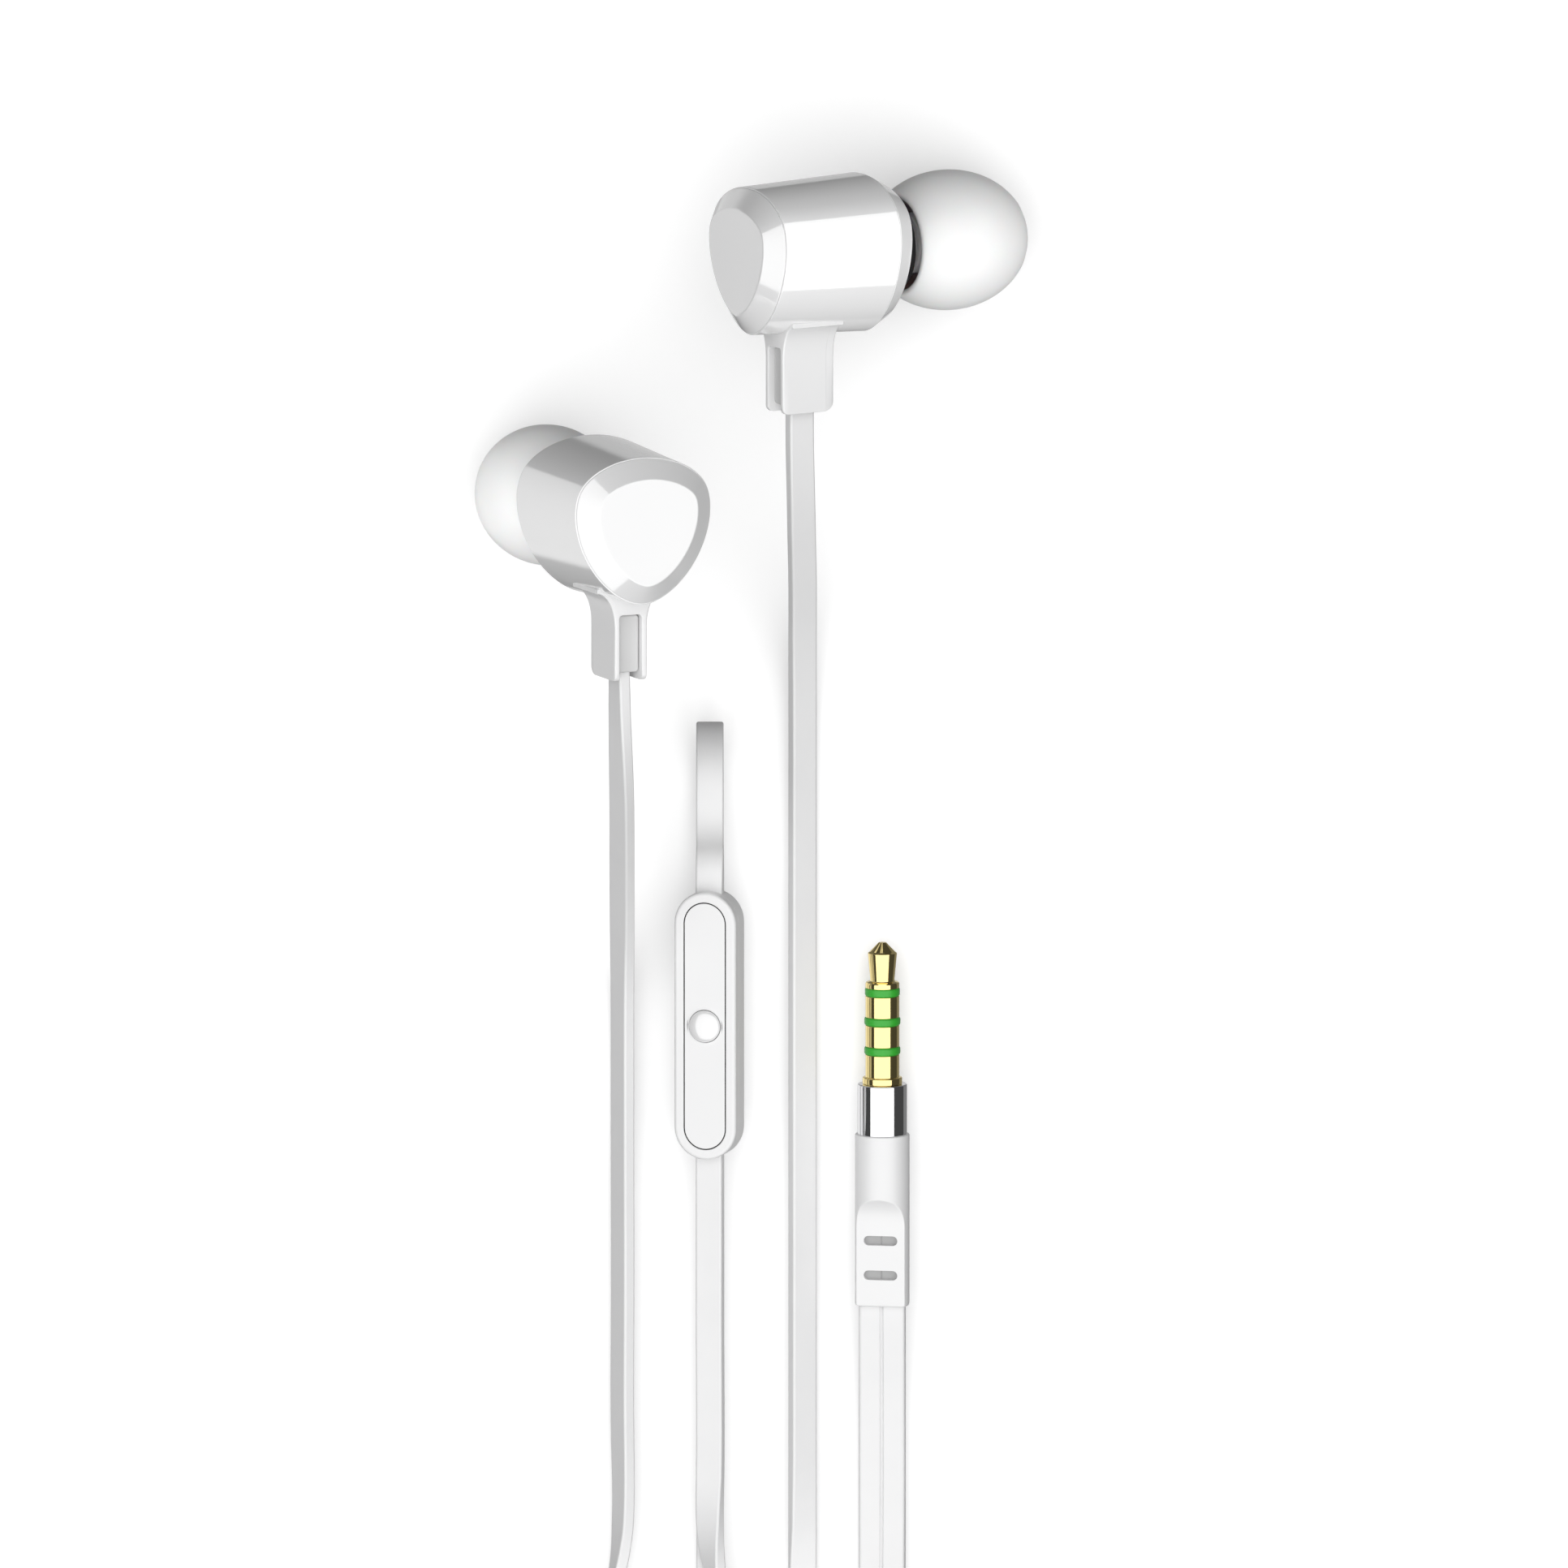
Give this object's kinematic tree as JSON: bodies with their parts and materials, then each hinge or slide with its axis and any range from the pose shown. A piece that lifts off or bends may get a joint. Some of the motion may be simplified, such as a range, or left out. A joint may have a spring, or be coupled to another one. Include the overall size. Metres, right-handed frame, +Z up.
{
  "type": "wired earphones",
  "caption": "In-ear wired earphones: bevelled housings with cable stems, soft tips, in-line remote, splitter, flat cable and a headphone plug.",
  "frame": {"origin": "on the table under the middle of the two earbuds, which rest on their ear tips", "axes": "+Z up from the table, +X from the left earbud to the right one, +Y from the plug to the earbuds"},
  "size_m": [0.078, 0.2308, 0.0335],
  "materials": {
    "white_gloss": "high gloss moulded",
    "white_matte": "satin moulded",
    "silicone": "soft satin silicone",
    "dark_ring": "satin",
    "steel_mesh": "fine woven mesh",
    "driver_steel": "nickel plated",
    "diaphragm_film": "thin film",
    "felt": "pressed felt",
    "circuit_board": "solder mask",
    "gold_plate": "polished gold plate",
    "green_insulator": "satin",
    "collar_chrome": "polished chrome",
    "cable_jacket": "smooth elastomer jacket",
    "tie_plastic": "coated wire tie"
  },
  "bodies": {
    "root": {"left_front_shell": "white_gloss", "left_nozzle": "white_gloss", "left_nozzle_mesh": "steel_mesh", "left_neck_ring": "dark_ring", "left_barrel": "white_gloss", "left_rear_cap": "white_gloss", "left_saddle": "white_gloss", "left_cable_clamp": "white_matte", "left_driver_frame": "driver_steel", "left_magnet": "driver_steel", "left_diaphragm": "diaphragm_film", "left_rear_damper": "felt", "left_terminal_board": "circuit_board", "right_front_shell": "white_gloss", "right_nozzle": "white_gloss", "right_nozzle_mesh": "steel_mesh", "right_neck_ring": "dark_ring", "right_barrel": "white_gloss", "right_rear_cap": "white_gloss", "right_saddle": "white_gloss", "right_cable_clamp": "white_matte", "right_driver_frame": "driver_steel", "right_magnet": "driver_steel", "right_diaphragm": "diaphragm_film", "right_rear_damper": "felt", "right_terminal_board": "circuit_board", "remote_front_frame": "white_gloss", "remote_back_shell": "white_matte", "remote_panel": "white_gloss", "remote_switch": "driver_steel", "remote_board": "circuit_board", "remote_microphone": "driver_steel", "splitter_shell": "white_matte", "splitter_core": "white_matte", "plug_tip": "gold_plate", "plug_ring_front": "gold_plate", "plug_ring_rear": "gold_plate", "plug_sleeve": "gold_plate", "plug_insulator_front": "green_insulator", "plug_insulator_middle": "green_insulator", "plug_insulator_rear": "green_insulator", "plug_collar": "collar_chrome", "plug_boot": "white_matte", "plug_core": "white_matte", "left_cable_upper": "cable_jacket", "left_cable_lower": "cable_jacket", "right_cable": "cable_jacket", "right_coil": "cable_jacket", "right_cable_inner": "cable_jacket", "main_cable_inner": "cable_jacket", "main_coil": "cable_jacket", "main_cable": "cable_jacket", "coil_tie": "tie_plastic"},
    "left_ear_tip": {"left_ear_tip": "silicone"},
    "right_ear_tip": {"right_ear_tip": "silicone"},
    "remote_button": {"remote_button": "white_gloss"}
  },
  "joints": [
    {"name": "left_ear_tip_pull", "type": "slide", "parent": "root", "child": "left_ear_tip", "axis": [-0.4195, 0, -0.9078], "range_m": [0, 0.0085]},
    {"name": "right_ear_tip_pull", "type": "slide", "parent": "root", "child": "right_ear_tip", "axis": [0.8643, 0, -0.503], "range_m": [0, 0.0085]},
    {"name": "remote_button_press", "type": "slide", "parent": "root", "child": "remote_button", "axis": [0.2874, 0, -0.9578], "range_m": [0, 0.00035], "stiffness_N_per_m": 600}
  ]
}
